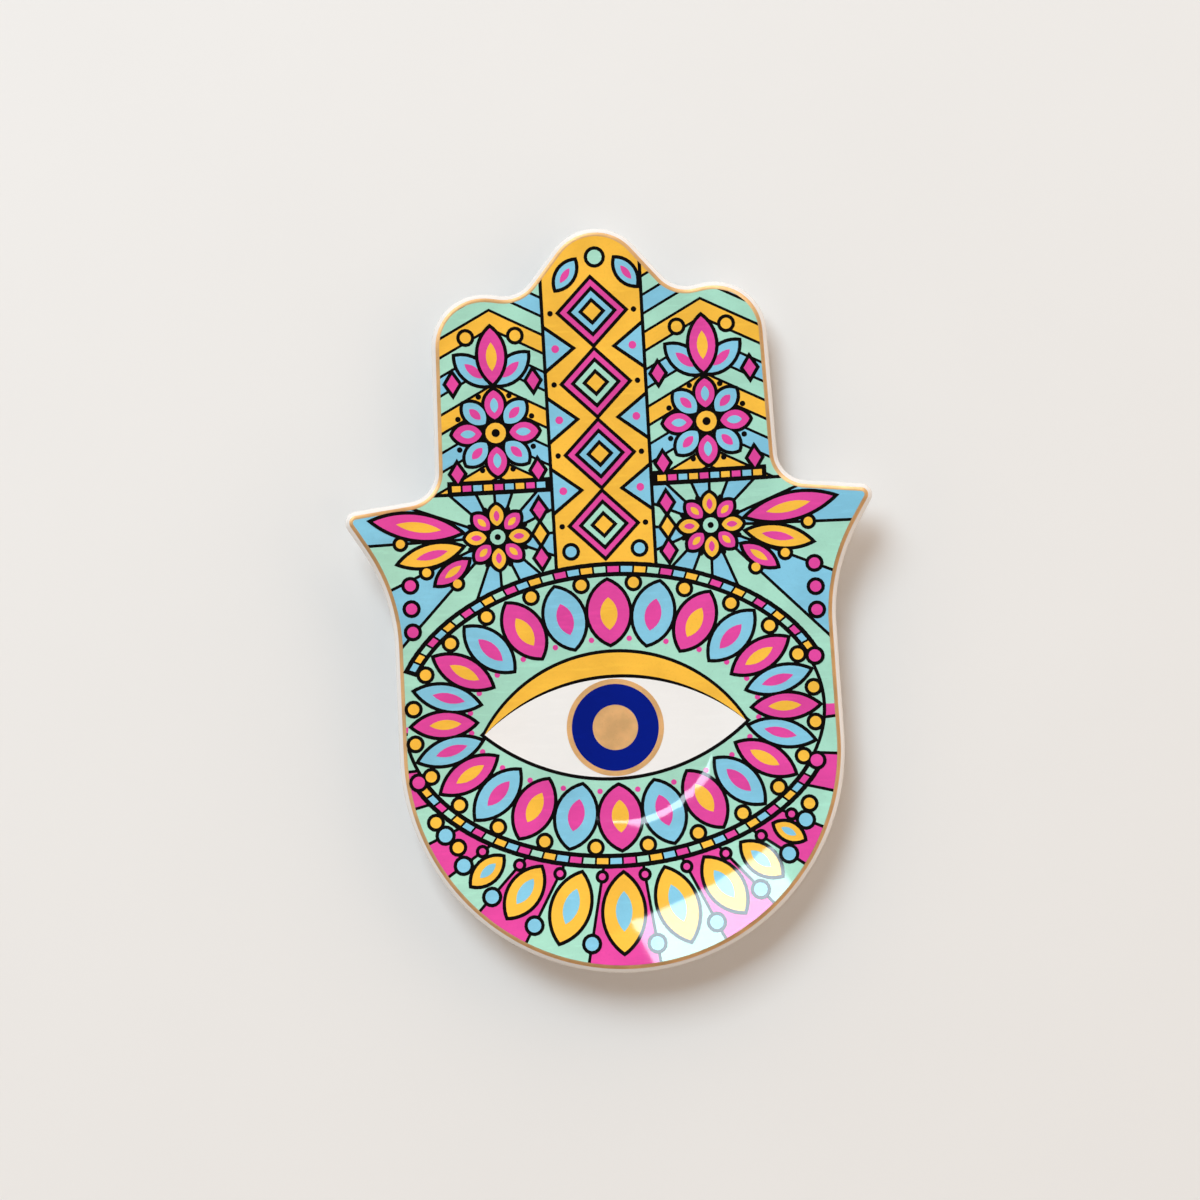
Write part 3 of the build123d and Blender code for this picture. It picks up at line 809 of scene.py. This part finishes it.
class Print(Sheets):
    """The layout of the print: a flower about the eye, leaves in the palm, filled fingers and thumbs."""

    def __init__(self, dish, sizes):
        super().__init__(dish, sizes, "black", "mint", "magenta", "amber", "sky")
        self.line = sizes.keyline_width
        self.eye = Vector((sizes.transfer_shift, dish.eye_y))
        lid_rise = (self.line + sizes.eyelid_thickness) / 2
        self.centre = self.eye + UP * lid_rise
        eye_axes = Vector((sizes.eye_half_width, sizes.eye_half_height + lid_rise))
        self.inner = eye_axes + BOTH * (self.line + sizes.petal_gap)
        self.outer = self.inner + BOTH * sizes.petal_length
        self.rim = self.outer + BOTH * sizes.flower_margin
        self.hoop_edge = self.rim + BOTH * (2 * self.line + sizes.band_width)
        self.column = sizes.column_half_width + self.line

    def motif(self, shape, tint, layer, *sizes):
        """A shape in one colour, with a black line round it."""
        shape("black", layer, *sizes, grow=self.line)
        shape(tint, layer + 1, *sizes)

    def leaf(self, tint, heart, layer, start, end, half_width):
        """An outlined pointed oval with a smaller one in its middle."""
        self.motif(self.lens, tint, layer, start, end, half_width)
        ends = start.lerp(end, HEART_START), start.lerp(end, HEART_END)
        self.lens(heart, layer + 2, *ends, half_width * HEART_WIDTH)

    def bead(self, tint, layer, spot, radius):
        """An outlined dot, left out where it would reach the gold line."""
        if self.dish.edge(*spot)[0] > self.dish.rim_inset + radius:
            self.motif(self.disc, tint, layer, spot, radius)

    def lozenge(self, layer, spot, half_width, half_height, *tints):
        """Outlined diamonds inside one another."""
        for index, tint in enumerate(tints):
            share = 1 - index * NEST_STEP
            wide, high = RIGHT * half_width * share, UP * half_height * share
            corners = [spot + wide, spot + high, spot - wide, spot - high]
            self.motif(self.polygon, tint, layer + 2 * index, corners)

    def rosette(self, layer, spot, radius, eye, *tints):
        """A round flower."""
        heart = radius * ROSETTE_HEART
        pitch = 2 * pi / ROSETTE_PETALS
        for index in range(ROSETTE_PETALS):
            turn = index * pitch
            ends = polar(spot, heart + self.line, turn), polar(spot, radius, turn)
            tint, core = tints[index % 2], tints[index % 2 - 1]
            self.leaf(tint, core, layer, *ends, (radius + heart) * pitch / 4 - self.line / 4)
            dot = polar(spot, radius * ROSETTE_DOTS, turn + pitch / 2)
            self.disc("black", layer, dot, self.sizes.dot_radius)
        self.motif(self.disc, eye, layer + 2, spot, heart)
        self.disc("black", layer + 4, spot, heart * ROSETTE_CORE)

    def stripe(self, tint, layer, corners):
        """One cell of a striped band."""
        self.polygon("black", layer, corners, grow=self.line)
        self.polygon(tint, layer + 1, corners, grow=-self.sizes.stripe_gap / 2)

    def band(self, layer, start, end, *tints):
        """A straight striped band."""
        run = end - start
        across = Vector((-run.y, run.x)).normalized() * self.sizes.band_width / 2
        count = round(run.length / self.sizes.stripe_pitch)
        for index in range(count):
            first, last = start.lerp(end, index / count), start.lerp(end, (index + 1) / count)
            corners = [first - across, last - across, last + across, first + across]
            self.stripe(tints[index % len(tints)], layer, corners)

    def flower(self, axes, turn):
        """A point of an oval about the middle of the flower."""
        return self.centre + Vector((axes.x * cos(turn), axes.y * sin(turn)))

    def hoop(self, layer, begin, end, *tints):
        """A stretch of the striped ring round the flower."""
        low = self.rim + BOTH * self.line
        high = low + BOTH * self.sizes.band_width
        count = round((end - begin) * (low.x + low.y) / 2 / self.sizes.stripe_pitch)
        for index in range(count):
            first, last = (begin + (end - begin) * step / count for step in (index, index + 1))
            corners = [self.flower(low, first), self.flower(high, first)]
            corners += [self.flower(high, last), self.flower(low, last)]
            self.stripe(tints[index % len(tints)], layer, corners)

    def ray(self, tint, focus, first, last, *limits):
        """A part of the ground between two headings from a focus."""
        sides = []
        for heading, turn in ((first, -1), (last, 1)):
            across = Vector((-sin(heading), cos(heading))) * turn
            sides.append((focus - across * self.sizes.ground_gap / 2, across))
        self.hand(tint, 1, self.dish.rim_inset, *sides, *limits)

    def palm_heading(self, step):
        """Direction from the palm's middle to a place beside the flower, and that place."""
        axes = self.hoop_edge + BOTH * self.sizes.leaf_gap
        begin = self.flower(axes, 1.5 * pi + step * self.sizes.leaf_pitch / 2)
        return begin - self.dish.palm_centre, begin

    def grounds(self):
        """The coloured grounds, parted by black lines."""
        dish, sizes = self.dish, self.sizes
        half = sizes.column_half_width
        self.hand("black", 0, dish.rim_inset)
        column_sides = (self.centre + RIGHT * half, RIGHT), (self.centre + LEFT * half, LEFT)
        self.hand("amber", 1, dish.rim_inset, (self.centre, DOWN), *column_sides)

        # Rays about the palm's middle
        steps = range(-2 * sizes.leaf_pairs + 1, 2 * sizes.leaf_pairs, 2)
        spokes = [self.palm_heading(step)[0] for step in steps]
        headings = [atan2(-spoke.y, -spoke.x) + pi for spoke in spokes]
        past = [EDGE_RAY_PITCH * (step + 1) for step in range(EDGE_RAYS)]
        before = [headings[0] - turn for turn in reversed(past)]
        after = [headings[-1] + turn for turn in past]
        headings = before + headings + after
        tints = "magenta", "mint"
        for index, (first, last) in enumerate(zip(headings, headings[1:])):
            self.ray(tints[index % 2], dish.palm_centre, first, last, (self.centre, UP))

    def chevrons(self, side):
        """Slanting stripes on an outer finger, mirrored about its middle."""
        dish, sizes = self.dish, self.sizes
        base = Vector((self.finger(side)[1], dish.crotch.y))
        edges = (self.eye + side * self.column, -side), (dish.crotch + UP * self.line, DOWN)
        tints = "mint", "sky", "mint", "amber"
        for turn in (RIGHT, LEFT):
            slant = Vector((turn.x * sin(sizes.chevron_slant), cos(sizes.chevron_slant)))
            for index in range(sizes.chevron_count):
                low = base + UP * (index - LOW_CHEVRONS) * sizes.chevron_pitch
                high = low + UP * (sizes.chevron_pitch - sizes.ground_gap)
                limits = (base, -turn), *edges, (low, -slant), (high, slant)
                self.hand(tints[index % len(tints)], 1, dish.rim_inset, *limits)

    def finger(self, side):
        """Where an outer finger's ground starts, has its middle and ends, across the hand."""
        near = self.eye.x + side.x * self.column
        far = side.x * (self.dish.hand.finger_span / 2 - self.dish.rim_inset)
        return near, (near + far) / 2, far

    def eye_flower(self):
        """The flower of petals about the eye, with a striped ring round it."""
        dish, sizes = self.dish, self.sizes
        limits = []
        reach = dish.hand.palm_radius - dish.rim_inset
        for step in range(-FLOWER_CUTS, FLOWER_CUTS + 1):
            for heading in (radians(step), pi - radians(step)):
                outward = polar(Vector((0, 0)), 1, heading)
                limits.append((polar(dish.palm_centre, reach, heading), outward))
        self.oval("black", 2, self.centre, self.rim + BOTH * self.line, limits)
        self.oval("mint", 3, self.centre, self.rim, limits)
        for begin, end in HOOP_STRETCHES:
            self.hoop(2, begin, end, "amber", "sky", "magenta", "mint")
            for turn in (begin - HOOP_BEAD_TURN, end + HOOP_BEAD_TURN):
                spot = self.flower(self.rim + BOTH * (self.line + sizes.band_width / 2), turn)
                self.bead("magenta", 4, spot, sizes.bead_radius * HOOP_BEAD)
        pitch = 2 * pi / sizes.petal_count
        middle = (self.inner + self.outer) / 2
        for index in range(sizes.petal_count):
            turn = pi / 2 + index * pitch
            near = [self.flower(middle, turn + step) for step in (-pitch, 0, pitch)]
            spacing = min((other - near[1]).length for other in near[::2])
            begin, end = self.flower(self.inner, turn), self.flower(self.outer, turn)
            over = max(0, dish.rim_inset + 2 * self.line - dish.edge(*end)[0])
            end -= (end - begin).normalized() * over
            tint, heart = (("magenta", "amber"), ("sky", "magenta"))[index % 2]
            self.leaf(tint, heart, 4, begin, end, (spacing - self.line) / 2)
            spot = self.flower(self.outer - BOTH * PETAL_BEAD_INSET, turn + pitch / 2)
            self.bead("amber", 4, spot, sizes.bead_radius)
            spot = self.flower(self.inner + BOTH * PETAL_DOT_INSET, turn + pitch / 2)
            self.disc("magenta", 4, spot, sizes.dot_radius)

    def palm(self):
        """Leaves that spread from the flower to the end of the palm."""
        dish, sizes = self.dish, self.sizes
        reach = dish.hand.palm_radius - dish.rim_inset - 2 * self.line - sizes.leaf_gap
        for step in range(-2 * sizes.leaf_pairs, 2 * sizes.leaf_pairs + 1):
            spoke, begin = self.palm_heading(step)
            heading = spoke.normalized()
            end = dish.palm_centre + heading * reach
            roomy = (end - begin).length > LEAF_ROOM * sizes.bead_radius
            if step % 2:
                spot = end - heading * sizes.bead_radius
                self.bead("sky", 2, spot, sizes.bead_radius * PALM_END_BEAD)
                if roomy:
                    spot = begin + heading * PALM_ROOT_GAP
                    self.bead("magenta", 2, spot, sizes.bead_radius * PALM_ROOT_BEAD)
            elif roomy:
                self.leaf("amber", "sky", 2, begin, end, (end - begin).length * sizes.leaf_fullness)
            else:
                self.bead("amber", 2, (begin + end) / 2, sizes.bead_radius)

    def middle_finger(self):
        """A chain of diamonds, with half diamonds at its sides."""
        sizes = self.sizes
        half = sizes.column_half_width
        spot = self.centre + UP * (self.hoop_edge.y + sizes.lozenge_height + sizes.leaf_gap)
        for index in range(sizes.lozenge_count):
            inside = (("mint", "amber"), ("sky", "amber"))[index % 2]
            self.lozenge(2, spot, sizes.lozenge_width, sizes.lozenge_height, "magenta", *inside)
            for side in (RIGHT, LEFT):
                self.disc("black", 2, spot + side * (half - COLUMN_DOT_MARGIN), sizes.dot_radius)
                if index < sizes.lozenge_count - 1:
                    between = spot + UP * (sizes.lozenge_height + self.line) + side * half
                    tall = UP * sizes.lozenge_height * HALF_DIAMOND_HEIGHT
                    deep = side * half * HALF_DIAMOND_DEPTH
                    corners = [between - tall, between + tall, between - deep]
                    self.motif(self.polygon, "sky", 2, corners if side is RIGHT else corners[::-1])
                    dot = between - side * half * HALF_DIAMOND_DOT
                    self.disc("magenta", 4, dot, sizes.dot_radius * HALF_DIAMOND_DOT_SIZE)
            spot = spot + UP * 2 * (sizes.lozenge_height + self.line)
        tip = Vector((0, self.dish.hand.hand_length / 2 - TIP_DROP))
        self.bead("mint", 2, tip, sizes.bead_radius * TIP_BEAD)
        for side in (RIGHT, LEFT):
            ends = [tip + side * out + DOWN * drop for out, drop in (TIP_LEAF_START, TIP_LEAF_END)]
            self.leaf("sky", "magenta", 2, *ends, TIP_LEAF_WIDTH)
            spot = self.centre + side * ROOT_BEAD_OUT + UP * (self.hoop_edge.y + ROOT_BEAD_UP)
            self.bead("sky", 2, spot, sizes.bead_radius)

    def side_finger(self, side):
        """A round flower and three leaves on an outer finger."""
        dish, sizes = self.dish, self.sizes
        near, middle, far = self.finger(side)
        wide = abs(far - near) / 2 - self.line
        level = dish.crotch.y + self.line + sizes.band_width / 2
        ends = Vector((middle - wide, level)), Vector((middle + wide, level))
        self.band(2, *ends, "amber", "magenta", "sky")
        spot = Vector((middle, level + sizes.band_width + sizes.rosette_radius + self.line))
        self.rosette(2, spot, sizes.rosette_radius, "amber", "magenta", "sky")
        root = spot + UP * (sizes.rosette_radius + self.line)
        for layer, lean, tint, heart in FINGER_LEAVES:
            reach = sizes.tulip_length * (1 - FINGER_LEAF_LOSS * abs(lean))
            ends = [polar(root, distance, pi / 2 + lean) for distance in (self.line, reach)]
            self.leaf(tint, heart, layer, *ends, reach * FINGER_LEAF_FULLNESS)
        for lean in (FINGER_BEAD_LEAN, -FINGER_BEAD_LEAN):
            spot = polar(root, sizes.tulip_length * FINGER_BEAD_REACH, pi / 2 + lean)
            self.bead("amber", 2, spot, sizes.bead_radius)
        for turn in (1, -1):
            for height in CORNER_HEIGHTS:
                across = RIGHT * turn * (wide - CORNER_MARGIN)
                corner = root + across + UP * height * sizes.rosette_radius
                self.lozenge(2, corner, *SMALL_DIAMOND, "magenta")

    def thumb(self, side):
        """A small round flower, its rays and a fan of leaves on a thumb."""
        dish, sizes = self.dish, self.sizes
        top = dish.crotch.y - self.line
        radius = sizes.rosette_radius * THUMB_FLOWER
        spot = Vector((self.eye.x + side.x * sizes.thumb_flower_out, top - radius - 2 * self.line))
        limits = (self.eye + side * self.column, -side), (dish.crotch, UP), (self.centre, DOWN)
        pitch = 2 * pi / THUMB_RAYS
        start = THUMB_HEADING if side.x > 0 else pi - THUMB_HEADING
        for index in range(THUMB_RAYS):
            first = start + (index - 0.5) * pitch
            self.ray(("sky", "mint")[index % 2], spot, first, first + pitch, *limits)
        self.rosette(2, spot, radius, "mint", "amber", "magenta")
        for index, reach in enumerate(THUMB_LEAVES):
            turn = THUMB_HEADING - pitch * index
            heading = Vector((side.x * cos(turn), sin(turn)))
            begin = spot + heading * (radius + THUMB_LEAF_GAP * self.line)
            half_width = THUMB_LEAF_LEAST + reach * THUMB_LEAF_FULLNESS
            tint, heart = (("magenta", "amber"), ("amber", "magenta"))[index % 2]
            self.leaf(tint, heart, 2, begin, begin + heading * reach, half_width)
            turn -= pitch / 2
            heading = Vector((side.x * cos(turn), sin(turn)))
            place = spot + heading * (radius + THUMB_BEAD_REACH * reach)
            self.bead("amber", 2, place, sizes.bead_radius * THUMB_BEAD)
        near = self.eye.x + side.x * (self.column + THUMB_DIAMOND_OUT)
        for index, tint in enumerate(("magenta", "amber", "magenta")):
            place = Vector((near, top - THUMB_DIAMOND_DROP - THUMB_DIAMOND_PITCH * index))
            self.lozenge(2, place, *SMALL_DIAMOND, tint)
        edge = side.x * (dish.hand.palm_radius - WAIST_BEAD_INSET)
        for index in range(WAIST_BEADS):
            height = self.eye.y + WAIST_BEAD_TOP - WAIST_BEAD_PITCH * index
            self.bead("magenta", 2, Vector((edge, height)), sizes.bead_radius)

    def eye_ground(self):
        """Black under the eye and its lid."""
        sizes = self.sizes
        ends = [self.eye + LEFT * sizes.eye_half_width, self.eye + RIGHT * sizes.eye_half_width]
        self.lens("black", 4, *ends, sizes.eye_half_height, grow=self.line)
        lid_ends = [ends[0] + LEFT * self.line, ends[1] + RIGHT * self.line]
        lid_top = sizes.eye_half_height + sizes.eyelid_thickness + 2 * self.line
        self.patch("black", 4, lid_ends, [0, lid_top])


# Turns at which a lip's round and the foot ring's small rounds have a row of points
LIP_TURNS = [radians(step) for step in range(15, 91, 15)]
FOOT_TURNS = [radians(step) for step in range(30, 91, 30)]
# Where the inside is drawn before it takes its height, well above all the rest
INSIDE_LEVEL = 100.0
# Kinds of faces of the body, told apart while it is being made
UNDER, RING, LIP = 0, 1, 2


class DISH_OT_body(bpy.types.Operator):
    """Models the porcelain dish with its lip and foot ring"""

    bl_idname = "dish.body"
    bl_label = "Porcelain body"

    def execute(self, context):
        dish = Dish(context.scene)
        section = dish.section
        bm = bmesh.new()
        self.rim_face(bm, dish, INSIDE_LEVEL, section.lip_radius, dish.lip_edge)
        underside = self.rim_face(bm, dish, section.foot_height, section.underlip_radius)
        border = underside.edges[:]
        bmesh.ops.delete(bm, geom=[underside], context="FACES_ONLY")
        line = wire(bm, dish.foot_bends, -section.foot_fillet, section.foot_height)
        bmesh.ops.triangle_fill(bm, use_beauty=True, edges=border + line, normal=(0, 0, -1))
        self.foot_ring(bm, dish, line)
        cut_grid(bm)
        for vert in bm.verts:
            kinds = {face.material_index for face in vert.link_faces}
            x, y, level = vert.co
            if level > INSIDE_LEVEL / 2:
                vert.co.z = dish.lip(x, y, 0) if LIP in kinds else dish.surface(x, y, 0)
            elif LIP in kinds:
                vert.co.z = dish.rounded(x, y, -section.wall_thickness, -section.underlip_radius)
            elif UNDER in kinds:
                vert.co.z = dish.surface(x, y, -section.wall_thickness)
        bmesh.ops.bridge_loops(bm, edges=[side for side in bm.edges if side.is_boundary])
        for face in bm.faces:
            face.material_index = 0
        material = porcelain(context.scene.dish_colours.glaze, section.foot_edge_radius * MM)
        piece(bm, "glazed_hand", material, "white_glaze", "porcelain_body")
        return {"FINISHED"}

    def rim_face(self, bm, dish, level, radius, *further):
        """The hand's face at a level, inset in rows for a round and then up to each further inset."""
        face = filled(bm, wire(bm, dish.bends, 0, level))
        done = 0.0
        for inset in (*(radius * (1 - cos(turn)) for turn in LIP_TURNS), *further):
            rim = bmesh.ops.inset_region(
                bm, faces=[face], thickness=inset - done, use_boundary=True, use_even_offset=True
            )
            for side in rim["faces"]:
                side.material_index = LIP
            done = inset
        return face

    def foot_profile(self, section):
        """The foot ring's section: inset, height, or None where it hangs from the dish, and drop."""
        fillet, edge = section.foot_fillet, section.foot_edge_radius
        hollow = [(fillet * (sin(turn) - 1), fillet * (1 - cos(turn))) for turn in FOOT_TURNS]
        corner = [(edge * (1 - cos(turn)), edge * (1 - sin(turn))) for turn in [0, *FOOT_TURNS]]
        profile = [(inset, None, drop) for inset, drop in hollow]
        profile += [(inset, height, 0) for inset, height in corner]
        profile += [(section.foot_width - inset, height, 0) for inset, height in reversed(corner)]
        profile += [(section.foot_width - inset, None, drop) for inset, drop in reversed(hollow)]
        return profile + [(section.foot_width + fillet, None, 0)]

    def foot_ring(self, bm, dish, line):
        """Draws the foot ring inwards from a line of edges, and closes the floor inside it."""
        section = dish.section
        low, high = dish.eye_y, dish.eye_y + section.foot_run
        for inset, height, drop in self.foot_profile(section):
            raised = bmesh.ops.extrude_edge_only(bm, edges=line)["geom"]
            line = [item for item in raised if isinstance(item, bmesh.types.BMEdge)]
            for item in raised:
                if isinstance(item, bmesh.types.BMFace):
                    item.material_index = RING
                if isinstance(item, bmesh.types.BMVert):
                    middle = Vector((0, min(max(item.co.y, low), high)))
                    place = middle + (item.co.xy - middle).normalized() * (section.foot_radius - inset)
                    hung = dish.surface(*place, -section.wall_thickness) - drop
                    item.co = (*place, hung if height is None else height)
        filled(bm, line)


# Rows of faces across the gold line, which follow the lip's round
GOLD_STRIPS = 5


class DISH_OT_gold_line(bpy.types.Operator):
    """Models the gold line on the crest of the lip"""

    bl_idname = "dish.gold_line"
    bl_label = "Gold line"

    def execute(self, context):
        dish = Dish(context.scene)
        sheets = Sheets(dish, plain(context.scene.dish_print), "gold")
        bm = sheets.meshes["gold"]
        inset = dish.section.gold_margin
        outer = wire(bm, dish.bends, inset)
        for step in range(GOLD_STRIPS):
            inset += dish.section.gold_width / GOLD_STRIPS
            inner = wire(bm, dish.bends, inset)
            bmesh.ops.bridge_loops(bm, edges=outer + inner)
            outer = inner
        # The lip's gold takes the darker colour, a painted shade
        gold = fired_gold("fired_gold", context.scene.dish_colours.lip_gold, satin=0.50)
        piece(sheets.fire("gold", dish.lip), "lip_gold_line", gold, "fired_gold", "rim_gilding")
        return {"FINISHED"}


class DISH_OT_enamels(bpy.types.Operator):
    """Prints the key lines and the coloured enamels"""

    bl_idname = "dish.enamels"
    bl_label = "Enamels"

    def execute(self, context):
        dish = Dish(context.scene)
        colours = context.scene.dish_colours
        transfer = Print(dish, plain(context.scene.dish_print))
        transfer.grounds()
        transfer.eye_flower()
        transfer.palm()
        transfer.middle_finger()
        for side in (RIGHT, LEFT):
            transfer.chevrons(side)
            transfer.side_finger(side)
            transfer.thumb(side)
        transfer.eye_ground()
        nodes = {
            "black": "black_keyline",
            "mint": "mint_enamel",
            "magenta": "magenta_enamel",
            "amber": "amber_enamel",
            "sky": "sky_enamel",
        }
        for tint, node in nodes.items():
            slot = f"{tint}_enamel"
            material = enamel(slot, getattr(colours, tint))
            piece(transfer.fire(tint, dish.surface), f"{tint}_print", material, slot, node)
        return {"FINISHED"}


class DISH_OT_eye(bpy.types.Operator):
    """Prints the eye in the palm"""

    bl_idname = "dish.eye"
    bl_label = "Eye"

    def execute(self, context):
        dish = Dish(context.scene)
        sizes = plain(context.scene.dish_print)
        colours = context.scene.dish_colours
        sheets = Sheets(dish, sizes, "white", "lid", "ring", "cobalt", "pupil")
        eye = Vector((sizes.transfer_shift, dish.eye_y))
        ends = [eye + LEFT * sizes.eye_half_width, eye + RIGHT * sizes.eye_half_width]
        sheets.lens("white", 5, *ends, sizes.eye_half_height)
        lid_lower = sizes.eye_half_height + sizes.keyline_width
        sheets.patch("lid", 5, ends, [-lid_lower, lid_lower + sizes.eyelid_thickness])
        iris = sizes.iris_radius - sizes.iris_ring_width
        sheets.ring("ring", 7, eye, sizes.iris_radius, iris)
        sheets.ring("cobalt", 7, eye, iris, sizes.pupil_radius)
        sheets.disc("pupil", 7, eye, sizes.pupil_radius)
        gold = fired_gold("fired_gold_eye", colours.gold, satin=0.46)
        white = enamel("white_enamel", colours.white, unevenness=0.2)
        amber = enamel("lid_enamel", colours.amber)
        blue = enamel("cobalt_enamel", colours.cobalt)
        pieces = (
            ("white", "eye_almond", white, "white_enamel", "eye_white"),
            ("lid", "eye_lid", amber, "amber_enamel", "eyelid_enamel"),
            ("ring", "iris_gold_ring", gold, "fired_gold", "iris_gilding"),
            ("cobalt", "iris_blue_ring", blue, "cobalt_enamel", "iris_cobalt"),
            ("pupil", "pupil_gold_disc", gold, "fired_gold", "pupil_gilding"),
        )
        for tint, name, material, slot, node in pieces:
            piece(sheets.fire(tint, dish.surface), name, material, slot, node)
        return {"FINISHED"}


# The room's light in its darkest corner, overhead and behind the table, as shares
DARK_CORNER, OVERHEAD, BACKDROP = 0.54, 0.027, 0.6
# Where the window stands, how high and how far off, and the places of the other lamps, in metres
WINDOW_SIDE, WINDOW_RISE, WINDOW_DISTANCE = Vector((-0.432, 0.902, 0)).normalized(), radians(49), 3.0
FILL_PLACE = Vector((0.85, -0.45, 1.76))
CEILING_PLACE, CEILING_TURN = Vector((-0.215, 0.228, 3.0)), radians(-14)
# Widths and heights of the lamps, in metres
WINDOW_SIZE, FILL_SIZE, CEILING_SIZE = (1.40, 1.5), (0.62, 0.28), (0.52, 0.22)
# The camera stands over this point, turned by this much, and the frame is measured at this height
CAMERA_SPOT, CAMERA_TURN, LIP_HEIGHT = (-0.00295, 0.00007), -atan2(0.0567, 0.9984), 0.011
SENSOR_WIDTH = 36
TABLE_SIZE = 4


class DISH_OT_stage(bpy.types.Operator):
    """Sets up the table, the lights and the camera"""

    bl_idname = "dish.stage"
    bl_label = "Stage"

    def execute(self, context):
        scene = context.scene
        stage = scene.dish_stage
        scene.view_settings.view_transform = "Standard"

        # Table
        bm = bmesh.new()
        bmesh.ops.create_grid(bm, x_segments=1, y_segments=1, size=TABLE_SIZE)
        mesh = bpy.data.meshes.new("table")
        bm.to_mesh(mesh)
        bm.free()
        mesh.materials.append(table_top(stage.table))
        table = bpy.data.objects.new("table", mesh)
        scene.collection.objects.link(table)

        # Room: dim overhead, bright low down, pale behind the table
        world = bpy.data.worlds.new("room")
        scene.world = world
        shades = Shades(world)
        sky = shades.tree.nodes["Background"]
        heading = shades.node("ShaderNodeTexCoord", output="Generated")
        across, far, height = (
            shades.node("ShaderNodeSeparateXYZ", {}, {0: heading}, output=axis) for axis in "XYZ"
        )
        side = shades.spread(across + far, -1.2, 1.2)
        around = shades.mix(side, tone(stage.room, DARK_CORNER), tone(stage.room, 1.0))
        low = 1 - shades.spread(height, 0.45, 0.80)
        room = shades.mix(low, tone(stage.room, OVERHEAD), around)
        path = shades.node("ShaderNodeLightPath", output="Is Camera Ray")
        shades.feed(sky.inputs["Color"], shades.mix(path, room, tone(stage.table, BACKDROP)))
        sky.inputs["Strength"].default_value = stage.room_strength

        # Window, a weak fill, and a ceiling panel
        towards = WINDOW_SIDE * cos(WINDOW_RISE) + Vector((0, 0, sin(WINDOW_RISE)))
        window = towards * WINDOW_DISTANCE
        self.lamp(scene, "window_light", window, WINDOW_SIZE, stage.window_power, stage.window)
        self.lamp(scene, "fill_light", FILL_PLACE, FILL_SIZE, stage.fill_power, stage.room)
        ceiling = CEILING_PLACE, CEILING_SIZE, stage.ceiling_power, stage.window, CEILING_TURN
        self.lamp(scene, "ceiling_light", *ceiling)

        # Camera
        data = bpy.data.cameras.new("camera")
        data.sensor_width = SENSOR_WIDTH
        data.lens = SENSOR_WIDTH * (stage.camera_height - LIP_HEIGHT) / stage.frame_width
        camera = bpy.data.objects.new("camera", data)
        camera.location = (*CAMERA_SPOT, stage.camera_height)
        camera.rotation_euler = (0, 0, CAMERA_TURN)
        scene.collection.objects.link(camera)
        scene.camera = camera
        return {"FINISHED"}

    def lamp(self, scene, name, place, size, power, tint, turn=0.0):
        """A rectangular lamp that faces the dish, turned about the way it faces."""
        data = bpy.data.lights.new(name, "AREA")
        data.shape = "RECTANGLE"
        data.size, data.size_y = size
        data.energy = power
        data.color = tint
        lamp = bpy.data.objects.new(name, data)
        lamp.location = place
        facing = (-place).to_track_quat("-Z", "Y") @ Quaternion((0, 0, 1), turn)
        lamp.rotation_euler = facing.to_euler()
        scene.collection.objects.link(lamp)


STEPS = (DISH_OT_body, DISH_OT_gold_line, DISH_OT_enamels, DISH_OT_eye, DISH_OT_stage)


class DISH_PT_panel(bpy.types.Panel):
    """Lists the steps of the dish and the sizes to change"""

    bl_idname = "DISH_PT_panel"
    bl_label = "Hamsa hand dish"
    bl_space_type = "VIEW_3D"
    bl_region_type = "UI"
    bl_category = "Dish"

    def draw(self, context):
        for step in STEPS:
            self.layout.operator(step.bl_idname)
        for key, group in SETTINGS.items():
            box = self.layout.box()
            for name in group.__annotations__:
                box.prop(getattr(context.scene, key), name)


def register():
    for group in SETTINGS.values():
        bpy.utils.register_class(group)
    for key, group in SETTINGS.items():
        setattr(bpy.types.Scene, key, PointerProperty(type=group))
    for item in (*STEPS, DISH_PT_panel):
        bpy.utils.register_class(item)


def unregister():
    for item in (DISH_PT_panel, *reversed(STEPS)):
        bpy.utils.unregister_class(item)
    for key, group in SETTINGS.items():
        delattr(bpy.types.Scene, key)
        bpy.utils.unregister_class(group)


def main():
    register()
    bpy.ops.dish.body()
    bpy.ops.dish.gold_line()
    bpy.ops.dish.enamels()
    bpy.ops.dish.eye()
    bpy.ops.dish.stage()


if __name__ == "__main__":
    main()
